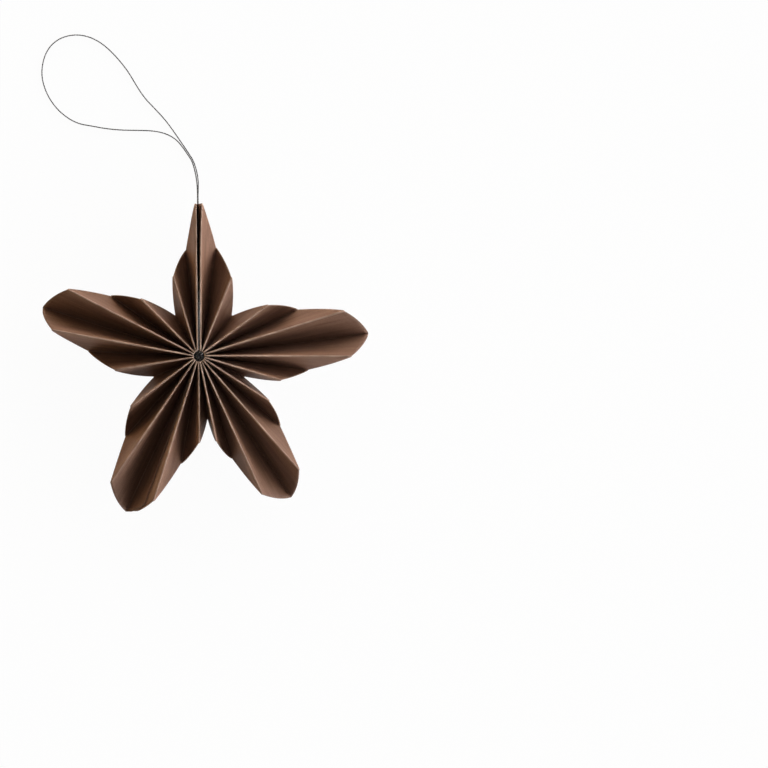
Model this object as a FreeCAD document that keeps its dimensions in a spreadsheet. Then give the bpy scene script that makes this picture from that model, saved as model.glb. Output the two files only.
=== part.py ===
"""Folded paper star with five arms and a loop of cord, lying on its back.

The star is two strips of card, pleated like a fan and glued into a ring.
The origin is on the star's axis, in the plane that it lies on.
+Z points out of the front and +Y to the arm that the star hangs by.
Bearings run clockwise from +Y, seen from the front. Lengths are in millimetres.
"""

import FreeCAD
import Part
import math
import os

from FreeCAD import Vector

# Driving dimensions: one cell of the sheet each
SIZES = {
    "paper_thickness": 0.3,
    "sheet_gap": 0.06,
    "pleat_width": 16.0,
    "tip_radius": 77.6,
    "ridge_radius": 69.9,
    "shoulder_radius": 50.0,
    "side_radius": 39.2,
    "notch_radius": 24.0,
    "tip_bulge": 1.3,
    "slope_bulge": 0.7,
    "shoulder_bulge": 1.1,
    "notch_bulge": 1.2,
    "flap_setback": 4.4,
    "tab_setback": 4.0,
    "glue_gap": 0.14,
    "end_setback": 1.0,
    "slit_back_gap": 0.25,
    "slit_back_offset": -1.0,
    "cord_diameter": 0.6,
    "cord_clearance": 0.05,
    "knot_depth": 3.2,
    "knot_clearance": 0.1,
    "thread_diameter": 0.5,
    "punch_radius": 5.2,
    "punch_clearance": 0.1,
}

# Bearing of every fold's outer end in degrees, from the slit in the hanging arm and back to it.
# A row runs from one arm's middle to the next arm's middle.
FOLD_BEARINGS = [
    [1.1, 8.7, 22.5, 38.3, 53.4, 64.3, 72.6, 82.2],
    [90.0, 97.2, 106.4, 114.7, 122.5, 130.7, 138.6, 147.0],
    [155.4, 162.6, 168.5, 172.9, 179.9, 189.7, 197.4, 205.3],
    [214.9, 223.0, 233.7, 246.0, 260.6, 272.7, 280.2, 287.3],
    [297.1, 304.3, 314.6, 329.2, 342.0, 352.5, 358.7],
]

# How far the hand-cut outline reaches at the same folds, as shares of the radii above
FOLD_REACH = [
    [1.010, 1.016, 1.003, 1.000, 1.013, 1.002, 1.004, 1.015],
    [1.007, 1.010, 1.005, 0.942, 0.980, 0.982, 1.000, 1.000],
    [1.004, 0.988, 1.018, 1.217, 1.020, 1.004, 1.002, 1.023],
    [1.021, 1.006, 1.000, 0.963, 1.003, 1.030, 0.987, 0.979],
    [0.972, 0.992, 0.962, 0.917, 0.987, 0.986, 1.008],
]

# What each fold of a row is, in the same order
ROW_PATTERN = ["ridge", "shoulder", "side", "notch", "side", "shoulder", "ridge", "tip"]

# The cut edge between two neighbouring folds takes its bulge from this pair of names
EDGE_BULGES = {
    ("ridge", "tip"): "tip_bulge",
    ("ridge", "shoulder"): "slope_bulge",
    ("shoulder", "side"): "shoulder_bulge",
    ("notch", "side"): "notch_bulge",
}

# Folds 0 to SEAM_RIDGE belong to the long strip, the others to the short one
SEAM_RIDGE = 22

# Flat faces along each panel, which turns from upright at the eye to sloping at its cut edge
TWIST_STEPS = 5

# Route of the cord's free loop, out of the slit and back into it: x, y and height of its middle.
# It comes down to the floor just past the arm, and its two ends run side by side there.
LOOP_ROUTE = [
    (-0.84, 71.4, 5.2),
    (-0.89, 75.2, 5.2),
    (-1.08, 79.4, 4.0),
    (-1.8, 84.3, 1.7),
    (-3.4, 90.2, 0.3),
    (-5.72, 93.6, 0.3),
    (-7.67, 96.5, 0.3),
    (-10.8, 100.3, 0.3),
    (-15.5, 103.0, 0.3),
    (-21.4, 104.3, 0.3),
    (-28.4, 104.5, 0.3),
    (-36.6, 104.6, 0.3),
    (-44.2, 105.4, 0.3),
    (-49.8, 106.5, 0.3),
    (-55.5, 107.4, 0.3),
    (-60.6, 109.8, 0.3),
    (-66.1, 114.4, 0.3),
    (-70.2, 120.3, 0.3),
    (-72.5, 126.4, 0.3),
    (-73.1, 131.4, 0.3),
    (-72.4, 136.6, 0.3),
    (-70.8, 140.9, 0.3),
    (-68.1, 144.6, 0.3),
    (-63.6, 147.6, 0.3),
    (-57.2, 148.9, 0.3),
    (-50.9, 147.8, 0.3),
    (-44.9, 144.6, 0.3),
    (-39.0, 139.1, 0.3),
    (-33.3, 132.1, 0.3),
    (-29.2, 125.1, 0.3),
    (-25.6, 119.6, 0.3),
    (-20.8, 114.6, 0.3),
    (-15.6, 109.0, 0.3),
    (-11.3, 103.0, 0.3),
    (-7.13, 96.9, 0.3),
    (-5.18, 94.0, 0.3),
    (-2.8, 90.4, 0.3),
    (-1.02, 84.5, 1.9),
    (-0.44, 79.6, 4.4),
    (-0.65, 75.2, 5.9),
    (-0.62, 71.4, 5.9),
]

# Each arc of the cord starts this share of the shorter run before its corner
ARC_SHARE = 0.45

# Height of the star's middle plane over the floor that it lies on
RESTING_HEIGHT = "(Sizes.pleat_width + Sizes.paper_thickness) / 2"


def make_sheet(document):
    """Spreadsheet with one aliased cell for every driving dimension."""
    sheet = document.addObject("Spreadsheet::Sheet", "Sizes")
    cells = dict(SIZES)
    bearings = [bearing for row in FOLD_BEARINGS for bearing in row]
    reaches = [reach for row in FOLD_REACH for reach in row]
    for number, (bearing, reach) in enumerate(zip(bearings, reaches)):
        cells[f"fold_bearing_{number}"] = bearing
        cells[f"fold_reach_{number}"] = reach
    for line, (alias, value) in enumerate(cells.items(), start=1):
        sheet.set(f"A{line}", alias)
        sheet.set(f"B{line}", str(value))
        sheet.setAlias(f"B{line}", alias)
    document.recompute()
    return sheet


def polar(bearing, radius, height):
    """Point at a compass bearing in degrees, a radius and a height."""
    angle = math.radians(bearing)
    return Vector(radius * math.sin(angle), radius * math.cos(angle), height)


def lerp(start, end, share):
    """Point that lies a share of the way from start to end."""
    return start + (end - start) * share


class Fold:
    """Outer end of one fold line: its kind, bearing, radius and height."""

    def __init__(self, kind, bearing, radius):
        self.kind = kind
        self.bearing = bearing
        self.radius = radius
        self.is_ridge = kind in ("ridge", "side")
        self.height = 0.0


class Panel:
    """Flat of card between two folds, by the four corners of its middle surface.

    The card covers it from the first stop to the last, as shares of the way from its start to its end.
    """

    def __init__(self, inner, outer, bulge, stops=(0.0, 1.0)):
        self.inner = inner
        self.outer = outer
        self.bulge = bulge
        self.stops = stops

    def crease(self, share):
        """Line from the eye to the cut edge at this share of the way across."""
        outer = lerp(*self.outer, share)
        outward = Vector(outer.x, outer.y, 0).normalize()
        return lerp(*self.inner, share), outer + outward * (self.bulge * 4 * share * (1 - share))

    def normals(self, share):
        """Unit normals of the card beside the crease at this share, at its inner and its outer end."""
        inner, outer = self.crease(share)
        return tuple(unit_normal(outer - inner, end - start) for start, end in (self.inner, self.outer))


def read_folds(sheet):
    """Every fold in order round the star, with its radius and its height over the middle plane."""
    folds = []
    count = sum(len(row) for row in FOLD_BEARINGS)
    for number in range(count):
        kind = ROW_PATTERN[number % len(ROW_PATTERN)]
        radius = sheet.get(f"{kind}_radius") * sheet.get(f"fold_reach_{number}")
        folds.append(Fold(kind, sheet.get(f"fold_bearing_{number}"), radius))
    set_fold_heights(folds, sheet.pleat_width)
    return folds


def set_fold_heights(folds, pleat_width):
    """The card keeps its width, so a pleat that is spread wider is flatter."""
    for number, fold in enumerate(folds):
        depths = []
        for neighbour in folds[max(number - 1, 0) : number + 2]:
            if neighbour is fold:
                continue
            radius = (fold.radius + neighbour.radius) / 2
            spread = math.radians(abs(fold.bearing - neighbour.bearing))
            chord = 2 * radius * math.sin(spread / 2)
            depths.append(math.sqrt(max(pleat_width**2 - chord**2, 0.0)))
        half_depth = sum(depths) / len(depths) / 2
        fold.height = half_depth if fold.is_ridge else -half_depth


class Ring:
    """How the sheets stand packed side by side round the eye of the star."""

    def __init__(self, sheet, sheet_count):
        self.pitch = sheet.paper_thickness + sheet.sheet_gap
        self.slit = sheet.cord_diameter + 2 * sheet.cord_clearance
        round_length = sheet_count * self.pitch + self.slit
        self.eye_radius = round_length / (2 * math.pi)

    def bearing(self, place):
        """Bearing of the sheet at this place, counted clockwise from the slit."""
        along = self.slit / 2 + (place + 0.5) * self.pitch
        return math.degrees(along / self.eye_radius)

    def line(self, place, half_width, towards_front):
        """Ends of a sheet's upright inner edge, first the one that it is reached at."""
        low = polar(self.bearing(place), self.eye_radius, -half_width)
        high = polar(self.bearing(place), self.eye_radius, half_width)
        return (low, high) if towards_front else (high, low)


def fold_corner(fold, half_turn, side):
    """Crease of a fold on one side: -1 is where it is reached and 1 where it is left."""
    shift = math.degrees(half_turn / fold.radius)
    return polar(fold.bearing + side * shift, fold.radius, fold.height)


def panels_of_star(sheet, folds):
    """Panels of the long strip and of the short strip, clockwise."""
    middle_count = len(folds) - 1
    sheet_count = middle_count + 3
    ring = Ring(sheet, sheet_count)
    half_width = sheet.pleat_width / 2
    half_turn = ring.pitch / 2

    def inner(place, towards_front):
        return ring.line(place, half_width, towards_front)

    def panel_between(number, place):
        """Panel between fold number and the next one, at this place in the ring."""
        start, end = folds[number], folds[number + 1]
        corners = (fold_corner(start, half_turn, 1), fold_corner(end, half_turn, -1))
        bulge = sheet.get(EDGE_BULGES[tuple(sorted((start.kind, end.kind)))])
        return Panel(inner(place, end.is_ridge), corners, bulge)

    def slit_wall(fold, side, place):
        """Upright panel beside the slit. side is -1 for the first panel and 1 for the last."""
        front = fold_corner(fold, half_turn, side)
        apart = (sheet.slit_back_gap + sheet.paper_thickness) / 2
        back = Vector(sheet.slit_back_offset - side * apart, front.y, -fold.height)
        short = sheet.end_setback / sheet.pleat_width
        if side < 0:
            return Panel(inner(place, True), (back, front), 0.0, (short, 1.0))
        return Panel(inner(place, False), (front, back), 0.0, (0.0, 1 - short))

    def seam_panels(place):
        """Last panel of the long strip and first panel of the short one, glued face to face."""
        ridge, tip = folds[SEAM_RIDGE], folds[SEAM_RIDGE + 1]
        ridge_corner = fold_corner(ridge, half_turn, 1)
        tip_corner = fold_corner(tip, half_turn, -1)
        normal = (tip_corner - ridge_corner).cross(tip_corner).normalize()
        over = normal * (sheet.paper_thickness + sheet.glue_gap)
        if over.z < 0:
            over = over * -1
        skip = sheet.flap_setback / sheet.pleat_width
        keep = 1 - sheet.tab_setback / sheet.pleat_width
        under = (ridge_corner, tip_corner - over)
        tab = Panel(inner(place, False), under, sheet.tip_bulge, (0.0, skip, keep))
        above = (ridge_corner + over, tip_corner)
        flap = Panel(inner(place + 1, False), above, sheet.tip_bulge, (skip, keep, 1.0))
        return tab, flap

    long_strip = [slit_wall(folds[0], -1, 0)]
    for number in range(SEAM_RIDGE):
        long_strip.append(panel_between(number, number + 1))
    tab, flap = seam_panels(SEAM_RIDGE + 1)
    long_strip.append(tab)
    short_strip = [flap]
    for number in range(SEAM_RIDGE + 1, middle_count):
        short_strip.append(panel_between(number, number + 2))
    short_strip.append(slit_wall(folds[-1], 1, sheet_count - 1))
    return ring, long_strip, short_strip


def unit_normal(fold_line, across):
    """Unit normal of the card beside a fold line, on its clockwise side."""
    return fold_line.cross(across).normalize()


def mitred(first, second, half_thickness):
    """Offset of a crease where card with one normal meets card with another."""
    return (first + second) * (half_thickness / (1 + first.dot(second)))


def crease_offset(panel, share, beside, half_thickness):
    """Offsets of a crease from the middle surface to the card's face, at its inner and its outer end.

    beside is the panel across the fold there, or None where the card just goes on or ends.
    """
    normals = panel.normals(share)
    if beside is None:
        return tuple(normal * half_thickness for normal in normals)
    crease = panel.crease(share)
    far_crease = beside.crease(1 - share)
    clockwise = 1 if share > 0.5 else -1
    fold_line = crease[1] - crease[0]
    offsets = []
    for normal, near, far in zip(normals, crease, far_crease):
        turn_normal = unit_normal(fold_line, (far - near) * clockwise)
        offsets.append(mitred(normal, turn_normal, half_thickness))
    return tuple(offsets)


def straight(start, end):
    return Part.LineSegment(start, end).toShape()


def flat_faces(loop):
    """Flat three-cornered faces that fill a loop of points, which need not lie in one plane."""
    faces = []
    for second, third in zip(loop[1:], loop[2:]):
        faces.append(Part.Face(Part.makePolygon([loop[0], second, third, loop[0]])))
    return faces


class Skin:
    """One face of a strip of card: its creases from the eye outwards, and the tops of its bowed cut edges."""

    def __init__(self, panels, half_thickness, side, steps):
        self.creases = []
        self.edge_tops = []
        neighbours = zip([None, *panels], panels, [*panels[1:], None])
        for before, panel, after in neighbours:
            for share, following in zip(panel.stops, [*panel.stops[1:], None]):
                beside = {0.0: before, 1.0: after}.get(share)
                shifts = crease_offset(panel, share, beside, half_thickness)
                inner, outer = (
                    point + shift * side for point, shift in zip(panel.crease(share), shifts)
                )
                self.creases.append([lerp(inner, outer, step / steps) for step in range(steps + 1)])
                if following is None:
                    self.edge_tops.append(None)
                else:
                    middle = (share + following) / 2
                    top = panel.crease(middle)[1] + panel.normals(middle)[1] * (half_thickness * side)
                    self.edge_tops.append(top)

    def faces(self):
        """The twisted panels and the folds' turns between them, as narrow flat faces."""
        found = []
        for left, right, top in zip(self.creases, self.creases[1:], self.edge_tops):
            for step in range(len(left) - 2):
                found += flat_faces([left[step], right[step], right[step + 1], left[step + 1]])
            if top is None:
                found += flat_faces([left[-2], right[-2], right[-1], left[-1]])
            else:
                found += flat_faces([top, left[-1], left[-2], right[-2], right[-1]])
        return found

    def outer_edge(self):
        """Points along the cut edges, with the tops of their bows."""
        points = []
        for crease, top in zip(self.creases, self.edge_tops):
            points.append(crease[-1])
            if top is not None:
                points.append(top)
        return points


def strip_solid(panels, thickness, steps):
    """Closed solid of one pleated strip of card."""
    upper = Skin(panels, thickness / 2, 1, steps)
    lower = Skin(panels, thickness / 2, -1, steps)
    faces = upper.faces() + lower.faces()
    rims = [
        (upper.outer_edge(), lower.outer_edge()),
        ([crease[0] for crease in upper.creases], [crease[0] for crease in lower.creases]),
        (upper.creases[0], lower.creases[0]),
        (upper.creases[-1], lower.creases[-1]),
    ]
    for one, other in rims:
        for number in range(len(one) - 1):
            faces += flat_faces([one[number], one[number + 1], other[number + 1], other[number]])
    shell = Part.makeShell(faces)
    shell.sewShape()
    solid = Part.makeSolid(shell)
    if solid.Volume < 0:
        solid.reverse()
    return solid


def rounded_route(points):
    """Wire of straight runs joined by tangent arcs, and the radii of its arcs."""
    edges = []
    radii = []
    at = points[0]
    for before, corner, after in zip(points, points[1:], points[2:]):
        coming = corner - before
        going = after - corner
        trim = ARC_SHARE * min(coming.Length, going.Length)
        coming.normalize()
        going.normalize()
        half_turn = coming.getAngle(going) / 2
        radius = trim / math.tan(half_turn)
        arc_start = corner - coming * trim
        arc_end = corner + going * trim
        inward = (going - coming).normalize()
        arc_middle = corner + inward * (radius / math.cos(half_turn) - radius)
        edges.append(straight(at, arc_start))
        edges.append(Part.Arc(arc_start, arc_middle, arc_end).toShape())
        radii.append(radius)
        at = arc_end
    edges.append(straight(at, points[-1]))
    return Part.Wire(edges), radii


def check_object(item):
    """Stop on an object that failed to build."""
    if "Invalid" in item.State or "Error" in item.State:
        raise RuntimeError(f"{item.Label} did not build: {item.State}")


def add_strip(document, name, panels, sheet, punch):
    """One pleated strip of card, with the holes that the thread goes through."""
    flat = document.addObject("Part::Feature", name + "Unpunched")
    flat.Shape = strip_solid(panels, sheet.paper_thickness, TWIST_STEPS)
    flat.Placement = FreeCAD.Placement(Vector(0, 0, resting_height(sheet)), FreeCAD.Rotation())
    strip = document.addObject("Part::Cut", name)
    strip.Base = flat
    strip.Tool = punch
    return strip


def resting_height(sheet):
    """Height of the star's middle plane over the floor that it lies on."""
    return (sheet.pleat_width + sheet.paper_thickness) / 2


def add_punch(document):
    """Square ring that cuts the awl's square hole into every sheet, with room for the thread."""
    half_hole = "(Sizes.thread_diameter / 2 + Sizes.punch_clearance)"
    cylinders = []
    for name, sign in (("PunchOutside", "+"), ("PunchInside", "-")):
        cylinder = document.addObject("Part::Cylinder", name)
        cylinder.setExpression("Radius", f"Sizes.punch_radius {sign} {half_hole}")
        cylinder.setExpression("Height", f"2 * {half_hole}")
        cylinder.setExpression("Placement.Base.z", f"{RESTING_HEIGHT} - {half_hole}")
        cylinders.append(cylinder)
    punch = document.addObject("Part::Cut", "Punch")
    punch.Base, punch.Tool = cylinders
    return punch


def add_thread(document):
    """Ring of thread through the middles of the pleats."""
    thread = document.addObject("Part::Torus", "TieThread")
    thread.setExpression("Radius1", "Sizes.punch_radius")
    thread.setExpression("Radius2", "Sizes.thread_diameter / 2")
    thread.setExpression("Placement.Base.z", RESTING_HEIGHT)
    return thread


def add_knot(document, eye_radius, height):
    """Knot that joins the two ends of the cord, in the eye of the star."""
    knot = document.addObject("Part::Ellipsoid", "CordKnot")
    knot.setExpression("Radius1", "Sizes.knot_depth / 2")
    knot.setExpression("Radius2", f"{eye_radius} - Sizes.knot_clearance")
    knot.setExpression("Radius3", f"{eye_radius} - Sizes.knot_clearance")
    knot.Placement.Base = Vector(0, 0, height)
    return knot


def add_strand(document, name, start, end):
    """Straight stretch of cord between the walls of the slit."""
    strand = document.addObject("Part::Cylinder", name)
    strand.setExpression("Radius", "Sizes.cord_diameter / 2")
    strand.Height = (end - start).Length
    strand.Placement = FreeCAD.Placement(start, FreeCAD.Rotation(Vector(0, 0, 1), end - start))
    return strand


def add_loop(document, points):
    """Free loop of cord, swept along its route."""
    wire, radii = rounded_route(points)
    route = document.addObject("Part::Feature", "LoopRoute")
    route.Shape = wire
    section = document.addObject("Part::Circle", "LoopSection")
    section.setExpression("Radius", "Sizes.cord_diameter / 2")
    section.Placement = FreeCAD.Placement(
        points[0], FreeCAD.Rotation(Vector(0, 0, 1), points[1] - points[0])
    )
    loop = document.addObject("Part::Sweep", "HangingLoop")
    loop.Sections = [section]
    loop.Spine = (route, [f"Edge{number}" for number in range(1, len(wire.Edges) + 1)])
    loop.Solid = True
    loop.Frenet = False
    print("radii of the cord's arcs:", ", ".join(f"{radius:.1f}" for radius in radii))
    return loop, wire.Length


def build():
    """Make the document and write each sub-part to a file of its own."""
    document = FreeCAD.newDocument("FoldedStar")
    sheet = make_sheet(document)
    folds = read_folds(sheet)
    ring, long_panels, short_panels = panels_of_star(sheet, folds)

    punch = add_punch(document)
    long_strip = add_strip(document, "LongStrip", long_panels, sheet, punch)
    short_strip = add_strip(document, "ShortStrip", short_panels, sheet, punch)
    thread = add_thread(document)

    sheet_count = len(long_panels) + len(short_panels)
    slit = "Sizes.cord_diameter + 2 * Sizes.cord_clearance"
    pitch = "Sizes.paper_thickness + Sizes.sheet_gap"
    eye_radius = f"({sheet_count} * ({pitch}) + {slit}) / (2 * pi)"

    route = [Vector(*point) for point in LOOP_ROUTE]
    knot = add_knot(document, eye_radius, (route[0].z + route[-1].z) / 2)
    loop, route_length = add_loop(document, route)
    lower_strand = add_strand(document, "LowerStrand", Vector(0, ring.eye_radius, route[0].z), route[0])
    upper_strand = add_strand(document, "UpperStrand", Vector(0, ring.eye_radius, route[-1].z), route[-1])

    subparts = {
        "long_pleated_strip": long_strip,
        "short_pleated_strip": short_strip,
        "tie_thread": thread,
        "cord_knot": knot,
        "lower_cord_strand": lower_strand,
        "upper_cord_strand": upper_strand,
        "hanging_loop": loop,
    }
    for name, item in subparts.items():
        item.Label = name
    document.recompute()
    for item in document.Objects:
        check_object(item)

    section = math.pi * (sheet.cord_diameter / 2) ** 2
    print(f"loop {route_length:.1f} long, its volume {loop.Shape.Volume:.2f}")
    print(f"its section times its length {section * route_length:.2f}")
    os.makedirs("parts", exist_ok=True)
    for name, item in subparts.items():
        shape = item.Shape
        if shape.isNull() or not shape.isValid():
            raise RuntimeError(f"{name} has no valid shape")
        shape.exportStep(os.path.join("parts", name + ".step"))
        print(name, len(shape.Solids), "solid, volume", round(shape.Volume, 2))


build()
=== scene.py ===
"""Looks of the folded paper star with its hanging cord.

Lengths in the constants are in millimetres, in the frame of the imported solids,
and MM turns them into metres. Bearings run clockwise from +Y, seen from the front.
"""

import math

import bpy
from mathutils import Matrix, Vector, noise


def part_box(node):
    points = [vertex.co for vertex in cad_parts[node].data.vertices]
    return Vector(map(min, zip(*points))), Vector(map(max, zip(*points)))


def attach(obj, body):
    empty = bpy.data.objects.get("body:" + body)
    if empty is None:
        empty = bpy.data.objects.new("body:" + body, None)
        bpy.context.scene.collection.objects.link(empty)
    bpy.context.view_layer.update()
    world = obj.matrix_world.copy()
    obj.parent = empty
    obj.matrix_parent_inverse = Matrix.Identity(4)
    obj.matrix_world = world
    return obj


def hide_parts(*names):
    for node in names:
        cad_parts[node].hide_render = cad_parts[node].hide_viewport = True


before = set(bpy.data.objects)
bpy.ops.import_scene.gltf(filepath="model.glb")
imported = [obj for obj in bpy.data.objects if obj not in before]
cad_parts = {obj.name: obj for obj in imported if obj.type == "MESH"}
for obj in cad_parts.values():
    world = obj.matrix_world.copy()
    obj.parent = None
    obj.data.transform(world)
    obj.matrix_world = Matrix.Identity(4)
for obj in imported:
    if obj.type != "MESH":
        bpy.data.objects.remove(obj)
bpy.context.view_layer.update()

MM = 0.001

# Card and pleats, as in the solids
PAPER_THICKNESS = 0.3
SHEET_GAP = 0.06
PLEAT_WIDTH = 16.0
TIP_RADIUS = 77.6
RIDGE_RADIUS = 69.9
SHOULDER_RADIUS = 50.0
SIDE_RADIUS = 39.2
NOTCH_RADIUS = 24.0
TIP_BULGE = 1.3
SLOPE_BULGE = 0.7
SHOULDER_BULGE = 1.1
NOTCH_BULGE = 1.2
FLAP_SETBACK = 4.4
TAB_SETBACK = 4.0
TAB_SLIP = 1.4
GLUE_GAP = 0.14
END_SETBACK = 1.0
SLIT_BACK_GAP = 0.02
SLIT_BACK_OFFSET = -1.0
CORD_DIAMETER = 0.6
CORD_CLEARANCE = 0.05
RESTING_HEIGHT = (PLEAT_WIDTH + PAPER_THICKNESS) / 2

FOLD_BEARINGS = [
    [1.1, 8.7, 22.5, 38.3, 53.4, 64.3, 72.6, 82.2],
    [90.0, 97.2, 106.4, 114.7, 122.5, 130.7, 138.6, 147.0],
    [155.4, 162.6, 168.5, 172.9, 179.9, 189.7, 197.4, 205.3],
    [214.9, 223.0, 233.7, 246.0, 260.6, 272.7, 280.2, 287.3],
    [297.1, 304.3, 314.6, 329.2, 342.0, 352.5, 358.7],
]
FOLD_REACH = [
    [1.010, 1.016, 1.003, 1.000, 1.013, 1.002, 1.004, 1.015],
    [1.007, 1.010, 1.005, 0.942, 0.980, 0.982, 1.000, 1.000],
    [1.004, 0.988, 1.018, 1.217, 1.020, 1.004, 1.002, 1.023],
    [1.021, 1.006, 1.000, 0.963, 1.003, 1.030, 0.987, 0.979],
    [0.972, 0.992, 0.962, 0.917, 0.987, 0.986, 1.008],
]
ROW_PATTERN = ["ridge", "shoulder", "side", "notch", "side", "shoulder", "ridge", "tip"]
KIND_RADII = {
    "ridge": RIDGE_RADIUS,
    "shoulder": SHOULDER_RADIUS,
    "side": SIDE_RADIUS,
    "notch": NOTCH_RADIUS,
    "tip": TIP_RADIUS,
}
EDGE_BULGES = {
    ("ridge", "tip"): TIP_BULGE,
    ("ridge", "shoulder"): SLOPE_BULGE,
    ("shoulder", "side"): SHOULDER_BULGE,
    ("notch", "side"): NOTCH_BULGE,
}
SEAM_RIDGE = 22

# Mesh fineness of the card
STEPS_ALONG = 44
STEPS_ACROSS = 10
STEPS_ROUND_FOLD = 6

# Share of a panel's width that each rounded fold takes, and how long its curve's handles are
FOLD_SHARE = 0.02
FOLD_HANDLE = 1.33

# How far the card is made pale, from 0 to 1: at the folds partly scuffing and partly a painted highlight
# where the rounded folds catch light, on the tab's bare strip a paler tone; and how much of that is lost
# towards the tips, so the painted highlight is strongest near the eye
RIDGE_WEAR_AND_HIGHLIGHT = 1.0
VALLEY_WEAR_AND_HIGHLIGHT = 0.3
TAB_WEAR = 0.3
WEAR_AND_HIGHLIGHT_FADE = 0.5

# How far the card departs from flat: the panels' bow, the folds' wobble and the slit's sway,
# and the power of the share along the panel by which these grow outwards
BOW_HEIGHT = 0.35
WOBBLE_HEIGHT = 0.16
WOBBLE_LENGTH = 22.0
SLIT_SWAY = 0.42
GROWTH = 1.5
PANEL_SEED_STEP = 3.7
BOW_SEED = 0.5
WOBBLE_SEED = 7.5

# Route of the cord's free loop, as in the solids
LOOP_ROUTE = [
    (-0.84, 71.4, 5.2),
    (-0.89, 75.2, 5.2),
    (-1.08, 79.4, 4.0),
    (-1.8, 84.3, 1.7),
    (-3.4, 90.2, 0.3),
    (-5.72, 93.6, 0.3),
    (-7.67, 96.5, 0.3),
    (-10.8, 100.3, 0.3),
    (-15.5, 103.0, 0.3),
    (-21.4, 104.3, 0.3),
    (-28.4, 104.5, 0.3),
    (-36.6, 104.6, 0.3),
    (-44.2, 105.4, 0.3),
    (-49.8, 106.5, 0.3),
    (-55.5, 107.4, 0.3),
    (-60.6, 109.8, 0.3),
    (-66.1, 114.4, 0.3),
    (-70.2, 120.3, 0.3),
    (-72.5, 126.4, 0.3),
    (-73.1, 131.4, 0.3),
    (-72.4, 136.6, 0.3),
    (-70.8, 140.9, 0.3),
    (-68.1, 144.6, 0.3),
    (-63.6, 147.6, 0.3),
    (-57.2, 148.9, 0.3),
    (-50.9, 147.8, 0.3),
    (-44.9, 144.6, 0.3),
    (-39.0, 139.1, 0.3),
    (-33.3, 132.1, 0.3),
    (-29.2, 125.1, 0.3),
    (-25.6, 119.6, 0.3),
    (-20.8, 114.6, 0.3),
    (-15.6, 109.0, 0.3),
    (-11.3, 103.0, 0.3),
    (-7.13, 96.9, 0.3),
    (-5.18, 94.0, 0.3),
    (-2.8, 90.4, 0.3),
    (-1.02, 84.5, 1.9),
    (-0.44, 79.6, 4.4),
    (-0.65, 75.2, 5.9),
    (-0.62, 71.4, 5.9),
]

# Twisted cord: two plies that lie round each other
TWIST_LENGTH = 1.5
SAMPLES_PER_TWIST = 12
PLY_SIDES = 7
PLY_RADIUS = 0.165
PLY_OFFSET = 0.135

# Points along each span of a cord's route
ROUTE_RESOLUTION = 24

# Knot: turns of cord round a lumpy core, and how far they swing up and down it
KNOT_PLY = 0.3
KNOT_STEPS = 240
KNOT_TURNS = 4
KNOT_WAVES = 7
KNOT_SWING = 0.62
KNOT_SINK = 0.97
KNOT_LUMPS = 0.35
KNOT_LUMPINESS = 2.6
CORE_RINGS = 24
CORE_SIDES = 48
KNOT_PLY_SIDES = 8

# Half the floor's width in metres, and the share of it that is plain white to the camera
# and in reflections
FLOOR_REACH_M = 3.0
FLOOR_GLOW = 0.96

# Soft lights low over the horizon, each by the bearing that it comes from, the cosine to that
# bearing at which it fades out, and its colour times its strength, and a weak one from above.
# Heights are the sine of the elevation at which the light ends or starts.
KEY_LIGHT = (78.0, -0.55, (28.5, 29.8, 31.6))
FILL_LIGHT = (-50.0, -0.3, (10.0, 7.6, 4.2))
SKY_TOP = 0.36
ZENITH_STRENGTH = 0.3
ZENITH_START = 0.6

# Photograph's frame: the star's centre in pixels, and millimetres per pixel on the star
PHOTO_SIZE_PX = 768
STAR_CENTRE_PX = (199.3, 356.3)
MM_PER_PX = 0.4615
CAMERA_LENS = 400.0
CAMERA_SENSOR = 36.0


def polar(bearing, radius, height):
    """Point at a compass bearing in degrees, a radius and a height."""
    angle = math.radians(bearing)
    return Vector((radius * math.sin(angle), radius * math.cos(angle), height))


class Fold:
    """Outer end of one fold line."""

    def __init__(self, kind, bearing, radius):
        self.kind = kind
        self.bearing = bearing
        self.radius = radius
        self.is_ridge = kind in ("ridge", "side")
        self.height = 0.0


class Panel:
    """Flat of card between two folds, by the corners of its middle surface.

    Its number is its sheet's place in the ring, and kinds are those of its folds, or None at a
    strip's end. The share of it next to its first fold that another sheet leaves bare is bare_share.
    """

    def __init__(self, inner_start, inner_end, outer_start, outer_end, kinds, number):
        self.inner = (inner_start, inner_end)
        self.outer = (outer_start, outer_end)
        self.bulge = EDGE_BULGES.get(kinds, 0.0)
        self.number = number
        self.bare_share = 0.0

    def point(self, across, along):
        """Point on the panel, both shares from 0 to 1, with the bow of its cut edge."""
        inner = self.inner[0].lerp(self.inner[1], across)
        outer = self.outer[0].lerp(self.outer[1], across)
        outward = Vector((outer.x, outer.y, 0)).normalized()
        outer = outer + outward * (self.bulge * 4 * across * (1 - across))
        return inner.lerp(outer, along)

    def direction(self, along):
        """Unit vector across the panel at this share of its length."""
        return (self.point(1, along) - self.point(0, along)).normalized()


def read_folds():
    """Every fold in order round the star, with its radius and its height over the middle plane."""
    folds = []
    for bearings, reaches in zip(FOLD_BEARINGS, FOLD_REACH):
        for kind, bearing, reach in zip(ROW_PATTERN, bearings, reaches):
            folds.append(Fold(kind, bearing, KIND_RADII[kind] * reach))
    for number, fold in enumerate(folds):
        depths = []
        for neighbour in folds[max(number - 1, 0) : number + 2]:
            if neighbour is fold:
                continue
            radius = (fold.radius + neighbour.radius) / 2
            spread = math.radians(abs(fold.bearing - neighbour.bearing))
            chord = 2 * radius * math.sin(spread / 2)
            depths.append(math.sqrt(max(PLEAT_WIDTH**2 - chord**2, 0.0)))
        half_depth = sum(depths) / len(depths) / 2
        fold.height = half_depth if fold.is_ridge else -half_depth
    return folds


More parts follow.
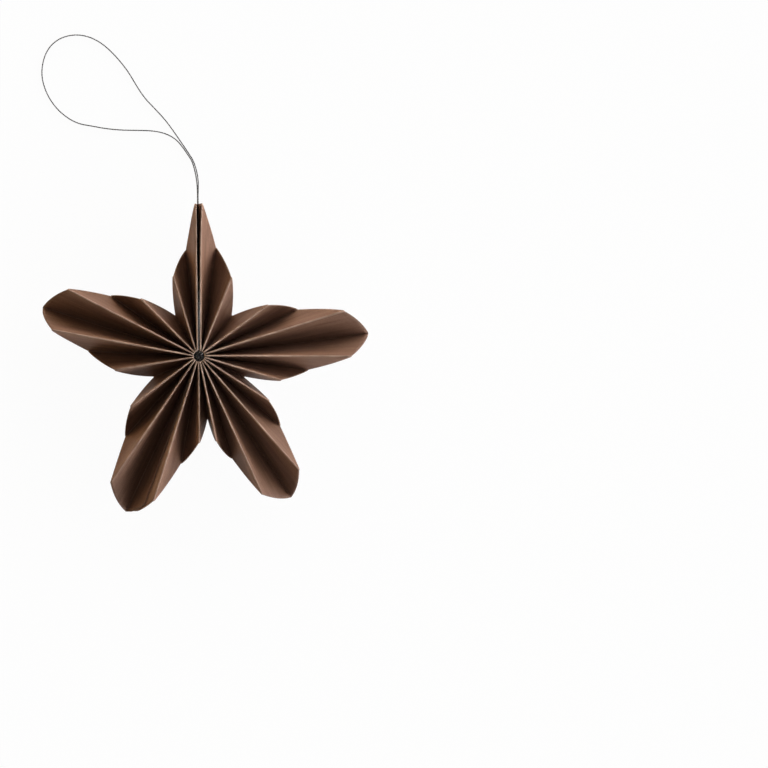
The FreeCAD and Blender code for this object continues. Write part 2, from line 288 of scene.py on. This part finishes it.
class Ring:
    """How the sheets stand packed side by side round the eye of the star."""

    def __init__(self, sheet_count):
        self.pitch = PAPER_THICKNESS + SHEET_GAP
        self.slit = CORD_DIAMETER + 2 * CORD_CLEARANCE
        self.radius = (sheet_count * self.pitch + self.slit) / (2 * math.pi)

    def line(self, place, towards_front):
        """Ends of a sheet's upright inner edge, first the one that it is reached at."""
        along = self.slit / 2 + (place + 0.5) * self.pitch
        bearing = math.degrees(along / self.radius)
        low = polar(bearing, self.radius, -PLEAT_WIDTH / 2)
        high = polar(bearing, self.radius, PLEAT_WIDTH / 2)
        return (low, high) if towards_front else (high, low)


def panels_of_star():
    """Panels of the long strip and of the short strip, clockwise."""
    folds = read_folds()
    middle_count = len(folds) - 1
    sheet_count = middle_count + 3
    ring = Ring(sheet_count)

    def corner(fold, side):
        """Crease of a fold: side -1 is where it is reached and 1 where it is left."""
        shift = math.degrees(ring.pitch / 2 / fold.radius)
        return polar(fold.bearing + side * shift, fold.radius, fold.height)

    def panel_between(number, place):
        start, end = folds[number], folds[number + 1]
        kinds = tuple(sorted((start.kind, end.kind)))
        return Panel(*ring.line(place, end.is_ridge), corner(start, 1), corner(end, -1), kinds, place)

    def slit_wall(fold, side, place):
        front = corner(fold, side)
        apart = (SLIT_BACK_GAP + PAPER_THICKNESS) / 2
        back = Vector((SLIT_BACK_OFFSET - side * apart, front.y, -fold.height))
        keep = 1 - END_SETBACK / PLEAT_WIDTH
        first, last = ring.line(place, side < 0)
        if side < 0:
            return Panel(last.lerp(first, keep), last, front.lerp(back, keep), front, None, place)
        return Panel(first, first.lerp(last, keep), front, front.lerp(back, keep), None, place)

    def seam_panels(place):
        ridge_corner = corner(folds[SEAM_RIDGE], 1)
        tip_corner = corner(folds[SEAM_RIDGE + 1], -1)
        normal = (tip_corner - ridge_corner).cross(tip_corner).normalized()
        over = normal * (PAPER_THICKNESS + GLUE_GAP)
        if over.z < 0:
            over = -over
        outward = polar(folds[SEAM_RIDGE + 1].bearing, 1.0, 0.0)
        front, back = ring.line(place, False)
        keep = 1 - TAB_SETBACK / PLEAT_WIDTH
        under_end = ridge_corner.lerp(tip_corner - over, keep) + outward * TAB_SLIP
        tab = Panel(front, front.lerp(back, keep), ridge_corner, under_end, ("ridge", "tip"), place)
        front, back = ring.line(place + 1, False)
        skip = FLAP_SETBACK / PLEAT_WIDTH
        tab.bare_share = skip
        flap_start = (ridge_corner + over).lerp(tip_corner, skip)
        flap = Panel(front.lerp(back, skip), back, flap_start, tip_corner, ("ridge", "tip"), place)
        return tab, flap

    long_strip = [slit_wall(folds[0], -1, 0)]
    for number in range(SEAM_RIDGE):
        long_strip.append(panel_between(number, number + 1))
    tab, flap = seam_panels(SEAM_RIDGE + 1)
    long_strip.append(tab)
    short_strip = [flap]
    for number in range(SEAM_RIDGE + 1, middle_count):
        short_strip.append(panel_between(number, number + 2))
    short_strip.append(slit_wall(folds[-1], 1, sheet_count - 1))
    return ring, long_strip, short_strip


def bent_point(panel, across, along):
    """Point on a panel with the card's own bow and the slow wobble of hand-folded card."""
    flat = panel.point(across, along)
    outwards = panel.point(across, 1) - panel.point(across, 0)
    normal = panel.direction(along).cross(outwards).normalized()
    seed = Vector((panel.number * PANEL_SEED_STEP, along * outwards.length / WOBBLE_LENGTH, BOW_SEED))
    bow = BOW_HEIGHT * noise.noise(seed) * 4 * across * (1 - across)
    seed.z = WOBBLE_SEED
    wobble = WOBBLE_HEIGHT * noise.noise(seed + Vector((0, across, 0)))
    return flat + slit_sway(panel, across, along) + normal * (bow + wobble) * along**GROWTH


def slit_sway(panel, across, along):
    """Shift to the left of the ridge on the slit's right side, between panels 0 and 1."""
    nearness = {0: across, 1: 1 - across}.get(panel.number, 0.0)
    return Vector((-SLIT_SWAY * nearness * math.sin(math.pi * along**GROWTH), 0, 0))


def fold_curve(before, after, along, share):
    """Point of the rounded crease between two panels, share 0 on the first and 1 on the second."""
    start = bent_point(before, 1 - FOLD_SHARE, along)
    end = bent_point(after, FOLD_SHARE, along)
    reach = FOLD_SHARE * PLEAT_WIDTH * FOLD_HANDLE
    control_one = start + before.direction(along) * reach
    control_two = end - after.direction(along) * reach
    rest = 1 - share
    return (
        start * rest**3
        + control_one * (3 * rest**2 * share)
        + control_two * (3 * rest * share**2)
        + end * share**3
    )


def strip_columns(panels):
    """Columns of the strip's mesh: a function of the share along, how pale the card is made there
    (scuffing, and at the folds a painted highlight too) and its place across.
    """
    columns = []
    for number, panel in enumerate(panels):
        first = 0 if number == 0 else FOLD_SHARE
        last = 1 if number == len(panels) - 1 else 1 - FOLD_SHARE
        for step in range(STEPS_ACROSS + 1):
            across = first + (last - first) * step / STEPS_ACROSS
            columns.append(
                (
                    lambda along, panel=panel, across=across: bent_point(panel, across, along),
                    TAB_WEAR if across < panel.bare_share else 0.0,
                    number + across,
                )
            )
        if number + 1 < len(panels):
            following = panels[number + 1]
            # Folds are made paler: partly scuffing, partly a painted highlight, strong on ridges and weak
            # in valleys.
            worn_and_highlit = RIDGE_WEAR_AND_HIGHLIGHT if panel.outer[1].z > 0 else VALLEY_WEAR_AND_HIGHLIGHT
            for step in range(1, STEPS_ROUND_FOLD):
                share = step / STEPS_ROUND_FOLD
                place = number + 1 + (share - 0.5) * FOLD_SHARE * 2
                columns.append(
                    (
                        lambda along, one=panel, two=following, share=share: fold_curve(
                            one, two, along, share
                        ),
                        worn_and_highlit,
                        place,
                    )
                )
    return columns


def kept_inside(point, low, high):
    """Nearest point of the box between these corners."""
    return Vector([min(max(value, least), most) for value, least, most in zip(point, low, high)])


def strip_vertices(columns, node):
    """Points of the strip's middle surface and how pale the card is made at each (scuffing, and at the
    folds a painted highlight too), row by row outwards.
    """
    low_corner, high_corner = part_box(node)
    inset = Vector((1, 1, 1)) * (PAPER_THICKNESS / 2 * MM)
    vertices = []
    wear_and_highlight = []
    for row in range(STEPS_ALONG + 1):
        along = row / STEPS_ALONG
        for place, worn_and_highlit, _ in columns:
            point = place(along)
            point.z += RESTING_HEIGHT
            vertices.append(kept_inside(point * MM, low_corner + inset, high_corner - inset))
            # The paleness fades towards the tips, so the painted highlight on the folds is strongest near
            # the eye.
            wear_and_highlight.append(worn_and_highlit * (1 - WEAR_AND_HIGHLIGHT_FADE * along))
    return vertices, wear_and_highlight


def strip_faces(columns):
    """Faces of the strip's middle surface, with each corner's place across and share along."""
    faces = []
    corners = []
    width = len(columns)
    for row in range(STEPS_ALONG):
        low, high = row / STEPS_ALONG, (row + 1) / STEPS_ALONG
        for column in range(width - 1):
            start = row * width + column
            faces.append((start, start + 1, start + width + 1, start + width))
            left, right = columns[column][-1], columns[column + 1][-1]
            corners.extend([(left, low), (right, low), (right, high), (left, high)])
    return faces, corners


def smooth_mesh(name, vertices, faces, materials):
    """Mesh with smooth shading and these materials."""
    mesh = bpy.data.meshes.new(name)
    mesh.from_pydata(vertices, [], faces)
    for polygon in mesh.polygons:
        polygon.use_smooth = True
    for material in materials:
        mesh.materials.append(material)
    return mesh


def linked_object(name, data):
    """Object in the scene that holds this mesh or camera."""
    found = bpy.data.objects.new(name, data)
    bpy.context.scene.collection.objects.link(found)
    return found


def stand_for(piece, node):
    """Let a piece take the place of a node of the solids."""
    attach(piece, "root")
    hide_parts(node)


def build_strip(name, panels, node, materials):
    """One pleated strip of card as a mesh that has the card's thickness."""
    columns = strip_columns(panels)
    vertices, wear_and_highlight = strip_vertices(columns, node)
    faces, corners = strip_faces(columns)
    mesh = smooth_mesh(name, vertices, faces, materials)
    layer = mesh.uv_layers.new(name="Strip")
    for loop, corner in zip(layer.data, corners):
        loop.uv = corner
    attribute = mesh.attributes.new("fold_wear_and_highlight", "FLOAT", "POINT")
    attribute.data.foreach_set("value", wear_and_highlight)
    strip = linked_object(name, mesh)
    solidify = strip.modifiers.new("Thickness", "SOLIDIFY")
    solidify.thickness = PAPER_THICKNESS * MM
    solidify.offset = 0
    solidify.material_offset_rim = 1
    stand_for(strip, node)


def new_material(name, base_color, roughness):
    """Material with its shader's base values set, and the nodes and links of its tree."""
    material = bpy.data.materials.new(name)
    material.use_nodes = True
    nodes = material.node_tree.nodes
    shader = nodes["Principled BSDF"]
    shader.inputs["Base Color"].default_value = (*base_color, 1)
    shader.inputs["Roughness"].default_value = roughness
    return material, nodes, material.node_tree.links, shader


def add_noise(nodes, links, vector, scale, detail):
    """Noise texture that reads this vector."""
    noise_node = nodes.new("ShaderNodeTexNoise")
    noise_node.inputs["Scale"].default_value = scale
    noise_node.inputs["Detail"].default_value = detail
    links.new(vector, noise_node.inputs["Vector"])
    return noise_node.outputs["Fac"]


def add_mix(nodes, links, factor, first, second, blend="MIX"):
    """Mix of two colours, each a value or another node's output."""
    mix = nodes.new("ShaderNodeMix")
    mix.data_type = "RGBA"
    mix.blend_type = blend
    for name, source in (("Factor", factor), ("A", first), ("B", second)):
        if isinstance(source, tuple):
            mix.inputs[name].default_value = (*source, 1)
        elif isinstance(source, float):
            mix.inputs[name].default_value = source
        else:
            links.new(source, mix.inputs[name])
    return mix.outputs["Result"]


def add_stretch(nodes, links, vector, scale):
    """Vector scaled differently along its axes."""
    mapping = nodes.new("ShaderNodeMapping")
    mapping.inputs["Scale"].default_value = scale
    links.new(vector, mapping.inputs["Vector"])
    return mapping.outputs["Vector"]


def add_range(nodes, links, value, low, high, to_low, to_high):
    """Value stretched from one range to another and kept inside it."""
    ramp = nodes.new("ShaderNodeMapRange")
    for name, number in (("From Min", low), ("From Max", high), ("To Min", to_low), ("To Max", to_high)):
        ramp.inputs[name].default_value = number
    links.new(value, ramp.inputs["Value"])
    return ramp.outputs["Result"]


def card_material():
    """Dark brown card: streaks along the pleats, fibre mottling, and folds made paler, partly scuffing
    and partly a painted highlight along the folds.
    """
    material, nodes, links, shader = new_material("brown_card", (0.132, 0.066, 0.040), 0.6)
    shader.inputs["Specular IOR Level"].default_value = 0.16
    coordinates = nodes.new("ShaderNodeTexCoord")
    strip = coordinates.outputs["UV"]

    fine = add_noise(nodes, links, add_stretch(nodes, links, strip, (22.0, 1.1, 1.0)), 2.0, 4.0)
    fine = add_range(nodes, links, fine, 0.3, 0.7, 0.0, 1.0)
    streaks = add_mix(nodes, links, fine, (0.100, 0.047, 0.028), (0.164, 0.086, 0.053))
    broad = add_noise(nodes, links, add_stretch(nodes, links, strip, (3.1, 1.3, 1.0)), 1.7, 2.0)
    broad = add_range(nodes, links, broad, 0.3, 0.7, 0.0, 1.0)
    shades = add_mix(nodes, links, broad, (0.82, 0.78, 0.74), (1.14, 1.16, 1.18))
    body = add_mix(nodes, links, 1.0, streaks, shades, "MULTIPLY")

    fibres = add_noise(nodes, links, coordinates.outputs["Object"], 1600.0, 4.0)
    body = add_mix(nodes, links, 0.3, body, fibres, "OVERLAY")

    # Paler card from this attribute: scuffing, and at the folds a painted highlight where the rounded
    # folds catch light.
    wear_and_highlight = nodes.new("ShaderNodeAttribute")
    wear_and_highlight.attribute_name = "fold_wear_and_highlight"
    patchy = add_noise(nodes, links, add_stretch(nodes, links, strip, (1.0, 9.0, 1.0)), 1.3, 3.0)
    patchy = add_range(nodes, links, patchy, 0.3, 0.7, 0.35, 1.0)
    rubbing_and_highlight = nodes.new("ShaderNodeMath")
    rubbing_and_highlight.operation = "MULTIPLY"
    links.new(wear_and_highlight.outputs["Fac"], rubbing_and_highlight.inputs[0])
    links.new(patchy, rubbing_and_highlight.inputs[1])
    rubbed_and_highlit = add_mix(nodes, links, rubbing_and_highlight.outputs["Value"], body, (0.37, 0.265, 0.205))
    links.new(rubbed_and_highlit, shader.inputs["Base Color"])

    bump = nodes.new("ShaderNodeBump")
    bump.inputs["Strength"].default_value = 0.25
    bump.inputs["Distance"].default_value = 0.00005
    links.new(fibres, bump.inputs["Height"])
    links.new(bump.outputs["Normal"], shader.inputs["Normal"])
    return material


def card_edge_material():
    """Cut edge of the card, where its paler core shows."""
    material, nodes, links, shader = new_material("card_cut_edge", (0.17, 0.11, 0.075), 0.8)
    coordinates = nodes.new("ShaderNodeTexCoord")
    fibres = add_noise(nodes, links, coordinates.outputs["Object"], 2500.0, 2.0)
    tone = add_mix(nodes, links, fibres, (0.12, 0.075, 0.048), (0.22, 0.15, 0.105))
    links.new(tone, shader.inputs["Base Color"])
    return material


def cord_material(name, dark_tone, light_tone, metallic):
    """Metallised yarn, with darker flecks between its foil turns."""
    middle = tuple((dark + light) / 2 for dark, light in zip(dark_tone, light_tone))
    material, nodes, links, shader = new_material(name, middle, 0.42)
    shader.inputs["Metallic"].default_value = metallic
    shader.inputs["Specular IOR Level"].default_value = 0.15
    coordinates = nodes.new("ShaderNodeTexCoord")
    flecks = add_noise(nodes, links, coordinates.outputs["Object"], 1500.0, 3.0)
    flecks = add_range(nodes, links, flecks, 0.35, 0.65, 0.0, 1.0)
    links.new(add_mix(nodes, links, flecks, dark_tone, light_tone), shader.inputs["Base Color"])
    bump = nodes.new("ShaderNodeBump")
    bump.inputs["Strength"].default_value = 0.5
    bump.inputs["Distance"].default_value = 0.00005
    links.new(flecks, bump.inputs["Height"])
    links.new(bump.outputs["Normal"], shader.inputs["Normal"])
    return material


def thread_material():
    """Dark brown sewing thread."""
    material, nodes, links, shader = new_material("brown_thread", (0.05, 0.032, 0.024), 0.8)
    coordinates = nodes.new("ShaderNodeTexCoord")
    fuzz = add_noise(nodes, links, coordinates.outputs["Object"], 3000.0, 2.0)
    tone = add_mix(nodes, links, fuzz, (0.03, 0.02, 0.015), (0.08, 0.05, 0.04))
    links.new(tone, shader.inputs["Base Color"])
    return material


def smooth_line(points):
    """Points along the NURBS line that has these control points, in metres."""
    curve = bpy.data.curves.new("route", "CURVE")
    curve.dimensions = "3D"
    spline = curve.splines.new("NURBS")
    spline.points.add(len(points) - 1)
    for target, point in zip(spline.points, points):
        target.co = (*(Vector(point) * MM), 1)
    spline.order_u = 3
    spline.use_endpoint_u = True
    spline.resolution_u = ROUTE_RESOLUTION
    holder = bpy.data.objects.new("route", curve)
    mesh = bpy.data.meshes.new_from_object(holder)
    line = [vertex.co.copy() for vertex in mesh.vertices]
    bpy.data.objects.remove(holder)
    bpy.data.curves.remove(curve)
    bpy.data.meshes.remove(mesh)
    return line


def evenly_spaced(line, spacing):
    """Points at even distances along a line."""
    lengths = [0.0]
    for before, after in zip(line, line[1:]):
        lengths.append(lengths[-1] + (after - before).length)
    count = max(2, round(lengths[-1] / spacing))
    found = []
    segment = 0
    for step in range(count + 1):
        target = lengths[-1] * step / count
        while segment < len(line) - 2 and lengths[segment + 1] < target:
            segment += 1
        span = lengths[segment + 1] - lengths[segment]
        share = (target - lengths[segment]) / span if span > 0 else 0
        found.append(line[segment].lerp(line[segment + 1], share))
    return found


def carried_frames(line):
    """Two unit vectors square to the line at each of its points, turning as little as they can."""
    frames = []
    side = Vector((0, 0, 1))
    for number, point in enumerate(line):
        before = line[max(number - 1, 0)]
        after = line[min(number + 1, len(line) - 1)]
        forward = (after - before).normalized()
        side = (side - forward * side.dot(forward)).normalized()
        frames.append((side, forward.cross(side)))
    return frames


def add_tube(vertices, faces, line, radius, sides):
    """Round tube along a line, closed at both ends."""
    first = len(vertices)
    for point, (side, other) in zip(line, carried_frames(line)):
        for number in range(sides):
            angle = 2 * math.pi * number / sides
            vertices.append(point + (side * math.cos(angle) + other * math.sin(angle)) * radius)
    rings = len(line)
    for ring in range(rings - 1):
        for number in range(sides):
            following = (number + 1) % sides
            low = first + ring * sides
            faces.append((low + number, low + following, low + sides + following, low + sides + number))
    faces.append(tuple(first + number for number in reversed(range(sides))))
    last = first + (rings - 1) * sides
    faces.append(tuple(last + number for number in range(sides)))


def twisted_cord(name, line, material, node):
    """Two plies that twist round each other along a line, which stand for one CAD node."""
    spacing = TWIST_LENGTH * MM / SAMPLES_PER_TWIST
    centres = evenly_spaced(line, spacing)
    frames = carried_frames(centres)
    vertices = []
    faces = []
    for ply in range(2):
        ply_line = []
        for number, (centre, (side, other)) in enumerate(zip(centres, frames)):
            angle = 2 * math.pi * number / SAMPLES_PER_TWIST + math.pi * ply
            offset = side * math.cos(angle) + other * math.sin(angle)
            ply_line.append(centre + offset * PLY_OFFSET * MM)
        add_tube(vertices, faces, ply_line, PLY_RADIUS * MM, PLY_SIDES)
    cord = linked_object(name, smooth_mesh(name, vertices, faces, [material]))
    stand_for(cord, node)
    return cord, centres


def build_loop(material):
    """Free loop of cord, from the slit and back into it."""
    line = smooth_line(LOOP_ROUTE)
    cord, centres = twisted_cord("twisted_loop", line, material, "hanging_loop")


def build_strands(ring, material):
    """Cord between the walls of the slit, from the knot to the loop."""
    ends = {"lower_cord_strand": LOOP_ROUTE[0], "upper_cord_strand": LOOP_ROUTE[-1]}
    for node, end in ends.items():
        start = Vector((0, ring.radius, end[2])) * MM
        twisted_cord("twisted_" + node, [start, Vector(end) * MM], material, node)


def point_round(middle, reach, tilt, turn):
    """Point of a ball with these half sizes, by its angle from the top and its angle round it."""
    way = Vector((math.sin(tilt) * math.cos(turn), math.sin(tilt) * math.sin(turn), math.cos(tilt)))
    swell = 1 + KNOT_LUMPS * noise.noise(way * KNOT_LUMPINESS)
    return middle + Vector((way.x * reach.x, way.y * reach.y, way.z * reach.z * swell))


def add_lump(vertices, faces, middle, reach, rings, sides):
    """Closed lumpy ball with these half sizes."""
    top = len(vertices)
    vertices.append(point_round(middle, reach, 0.0, 0.0))
    for ring in range(1, rings):
        for number in range(sides):
            vertices.append(
                point_round(middle, reach, math.pi * ring / rings, 2 * math.pi * number / sides)
            )
    bottom = len(vertices)
    vertices.append(point_round(middle, reach, math.pi, 0.0))
    for number in range(sides):
        following = (number + 1) % sides
        faces.append((top, top + 1 + number, top + 1 + following))
        for ring in range(rings - 2):
            low = top + 1 + ring * sides
            faces.append((low + number, low + sides + number, low + sides + following, low + following))
        faces.append((bottom - sides + number, bottom, bottom - sides + following))


def build_knot(ring, material):
    """Knot pulled tight in the eye of the star: a core with turns of cord over it."""
    low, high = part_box("cord_knot")
    middle = (low + high) / 2
    reach = (high - low) / 2
    core = Vector((ring.radius * MM, ring.radius * MM, reach.z - KNOT_PLY * MM))
    vertices = []
    faces = []
    add_lump(vertices, faces, middle, core, CORE_RINGS, CORE_SIDES)
    turns = []
    for step in range(KNOT_STEPS + 1):
        angle = 2 * math.pi * step / KNOT_STEPS
        tilt = math.pi / 2 - KNOT_SWING - KNOT_SWING * math.sin(KNOT_WAVES * angle)
        turns.append(point_round(middle, core * KNOT_SINK, tilt, KNOT_TURNS * angle))
    add_tube(vertices, faces, turns, KNOT_PLY * MM, KNOT_PLY_SIDES)
    knot = linked_object("overhand_knot", smooth_mesh("overhand_knot", vertices, faces, [material]))
    stand_for(knot, "cord_knot")


def seen_directly(nodes, links):
    """1 for the rays that show the background: from the camera, in a reflection or through glass."""
    path = nodes.new("ShaderNodeLightPath")
    found = path.outputs["Is Camera Ray"]
    for name in ("Is Glossy Ray", "Is Transmission Ray"):
        either = nodes.new("ShaderNodeMath")
        either.operation = "MAXIMUM"
        links.new(found, either.inputs[0])
        links.new(path.outputs[name], either.inputs[1])
        found = either.outputs["Value"]
    return found


def build_floor():
    """Plain white table, which looks white but keeps the object's shadow."""
    reach = FLOOR_REACH_M
    corners = [(-reach, -reach, 0), (reach, -reach, 0), (reach, reach, 0), (-reach, reach, 0)]
    mesh = bpy.data.meshes.new("floor")
    mesh.from_pydata(corners, [], [(0, 1, 2, 3)])
    floor = linked_object("floor", mesh)
    material, nodes, links, shader = new_material("white_table", (0.9, 0.9, 0.9), 0.9)
    glow = nodes.new("ShaderNodeEmission")
    glow.inputs["Strength"].default_value = 1.0
    share = nodes.new("ShaderNodeMath")
    share.operation = "MULTIPLY"
    share.inputs[1].default_value = FLOOR_GLOW
    links.new(seen_directly(nodes, links), share.inputs[0])
    mix = nodes.new("ShaderNodeMixShader")
    links.new(share.outputs["Value"], mix.inputs["Fac"])
    links.new(shader.outputs["BSDF"], mix.inputs[1])
    links.new(glow.outputs["Emission"], mix.inputs[2])
    links.new(mix.outputs["Shader"], nodes["Material Output"].inputs["Surface"])
    mesh.materials.append(material)


def build_world():
    """Soft light low from two sides and a little from above, on a white background."""
    world = bpy.data.worlds.new("studio")
    bpy.context.scene.world = world
    world.use_nodes = True
    nodes = world.node_tree.nodes
    links = world.node_tree.links
    coordinates = nodes.new("ShaderNodeTexCoord")
    split = nodes.new("ShaderNodeSeparateXYZ")
    links.new(coordinates.outputs["Generated"], split.inputs["Vector"])

    def side_light(bearing, fades_at, colour):
        nearness = nodes.new("ShaderNodeVectorMath")
        nearness.operation = "DOT_PRODUCT"
        nearness.inputs[1].default_value = polar(bearing, 1.0, 0.0)
        links.new(coordinates.outputs["Generated"], nearness.inputs[0])
        share = add_range(nodes, links, nearness.outputs["Value"], fades_at, 1.0, 0.0, 1.0)
        return add_mix(nodes, links, 1.0, colour, share, "MULTIPLY")

    low = add_range(nodes, links, split.outputs["Z"], 0.0, SKY_TOP, 1.0, 0.0)
    high = add_range(nodes, links, split.outputs["Z"], ZENITH_START, 1.0, 0.0, ZENITH_STRENGTH)
    sky = add_mix(nodes, links, 1.0, side_light(*KEY_LIGHT), side_light(*FILL_LIGHT), "ADD")
    sky = add_mix(nodes, links, 1.0, sky, low, "MULTIPLY")
    sky = add_mix(nodes, links, 1.0, sky, high, "ADD")
    light = nodes["Background"]
    links.new(sky, light.inputs["Color"])
    backdrop = nodes.new("ShaderNodeBackground")
    backdrop.inputs["Color"].default_value = (1, 1, 1, 1)
    mix = nodes.new("ShaderNodeMixShader")
    links.new(seen_directly(nodes, links), mix.inputs["Fac"])
    links.new(light.outputs["Background"], mix.inputs[1])
    links.new(backdrop.outputs["Background"], mix.inputs[2])
    links.new(mix.outputs["Shader"], nodes["World Output"].inputs["Surface"])


def build_camera():
    """Camera straight above, framed as the photograph is."""
    data = bpy.data.cameras.new("camera")
    data.lens = CAMERA_LENS
    data.sensor_width = CAMERA_SENSOR
    camera = linked_object("camera", data)
    middle = PHOTO_SIZE_PX / 2
    frame_width = PHOTO_SIZE_PX * MM_PER_PX
    x = (middle - STAR_CENTRE_PX[0]) * MM_PER_PX
    y = (STAR_CENTRE_PX[1] - middle) * MM_PER_PX
    height = RESTING_HEIGHT + frame_width * CAMERA_LENS / CAMERA_SENSOR
    camera.location = Vector((x, y, height)) * MM
    bpy.context.scene.camera = camera


def main():
    bpy.context.scene.view_settings.view_transform = "Standard"
    ring, long_panels, short_panels = panels_of_star()
    card = [card_material(), card_edge_material()]
    build_strip("long_strip_folded", long_panels, "long_pleated_strip", card)
    build_strip("short_strip_folded", short_panels, "short_pleated_strip", card)
    build_loop(cord_material("silver_yarn", (0.008, 0.0075, 0.008), (0.15, 0.14, 0.143), 0.1))
    # Painted shade: the strands in the slit are the same cord coloured dark brown, as if in the slit's
    # shadow.
    build_strands(ring, cord_material("painted_shade_yarn", (0.012, 0.008, 0.006), (0.10, 0.065, 0.045), 0.0))
    # Painted light: the knot is the same cord made far paler, so that it looks lit though it sits deep in
    # the eye's shade.
    build_knot(ring, cord_material("painted_light_yarn", (0.03, 0.027, 0.03), (0.95, 0.9, 0.93), 0.0))
    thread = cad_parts["tie_thread"]
    thread.data.materials.clear()
    thread.data.materials.append(thread_material())
    build_floor()
    build_world()
    build_camera()


main()
